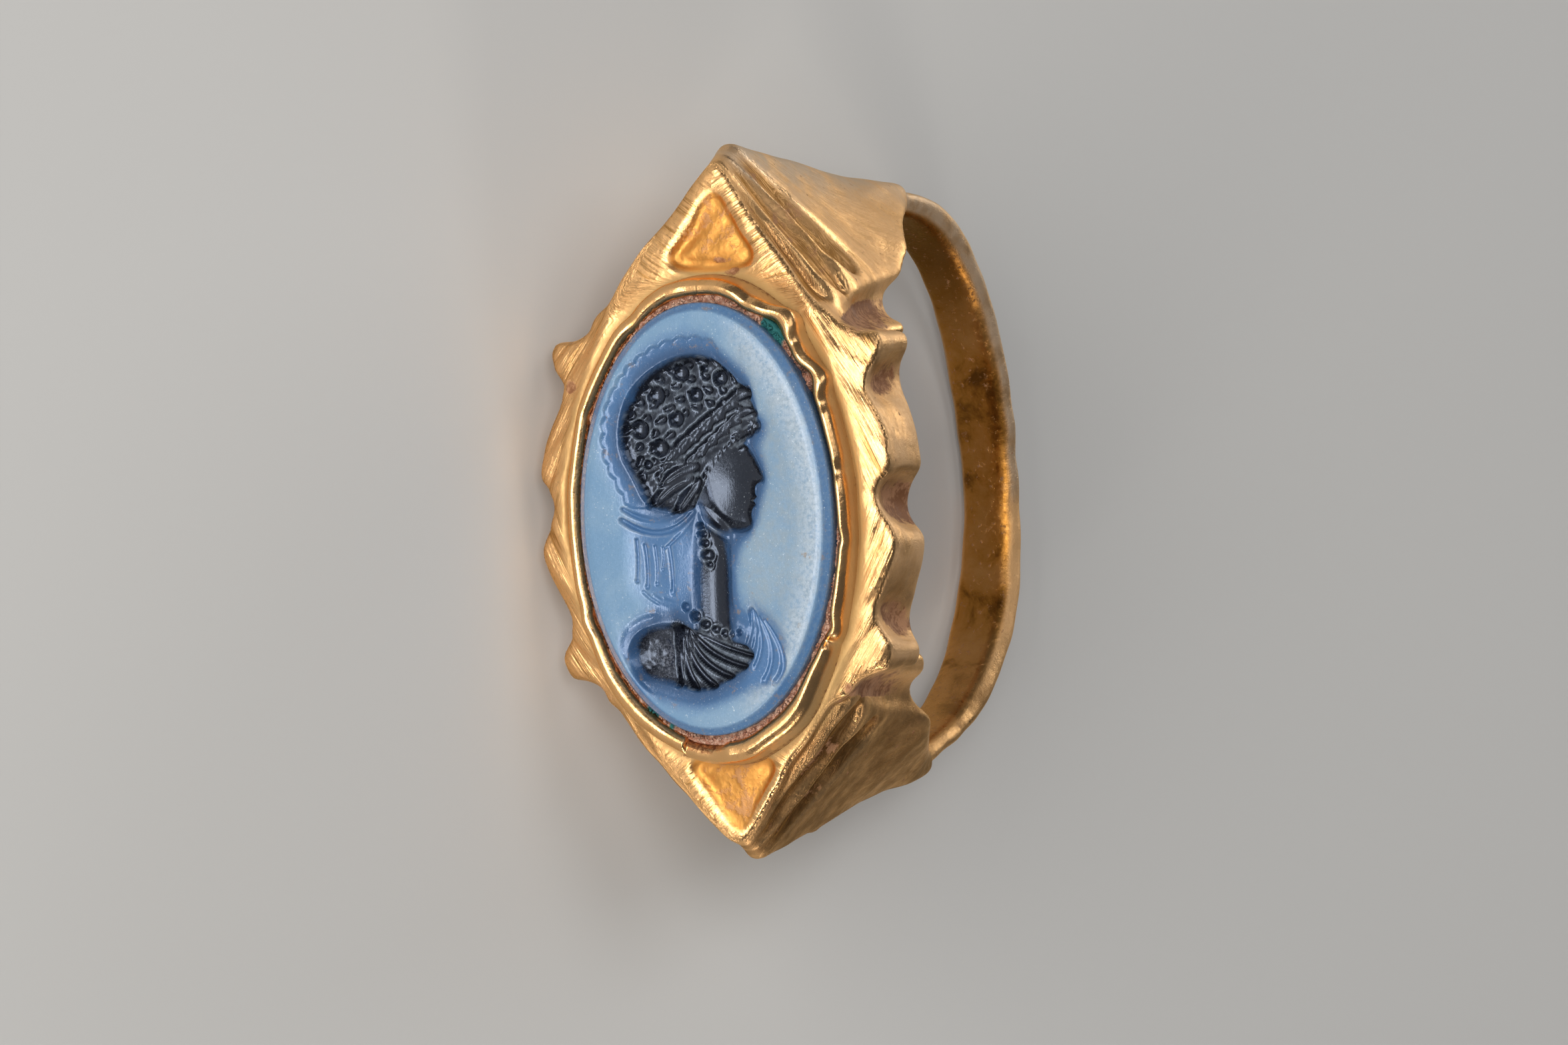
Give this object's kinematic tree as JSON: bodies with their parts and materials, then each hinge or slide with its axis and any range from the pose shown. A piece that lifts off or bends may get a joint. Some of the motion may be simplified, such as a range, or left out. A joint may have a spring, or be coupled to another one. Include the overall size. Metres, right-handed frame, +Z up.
{
  "type": "intaglio ring",
  "caption": "Antique gold finger ring with a pointed oval bezel, scalloped edges, leaf-cut shoulders and an oval blue-on-black stone engraved with a bust, lying on its side.",
  "frame": {"origin": "middle of the box's underside, on the surface that the ring lies on", "axes": "+Z up from the surface; -Y is the way the bezel faces, looking slightly up; +X runs along the bezel from its upper tip to its lower tip"},
  "size_m": [0.024, 0.0246, 0.0133],
  "materials": {
    "gold": "worn high-carat gold, brushed on the flange, matte on the shoulders, patinated in the hollows",
    "bedding": "crumbly and matte",
    "nicolo": "polished pale blue layer over black"
  },
  "bodies": {
    "root": {"ring_body": "gold", "bedding": "bedding", "stone": "nicolo"}
  },
  "joints": []
}
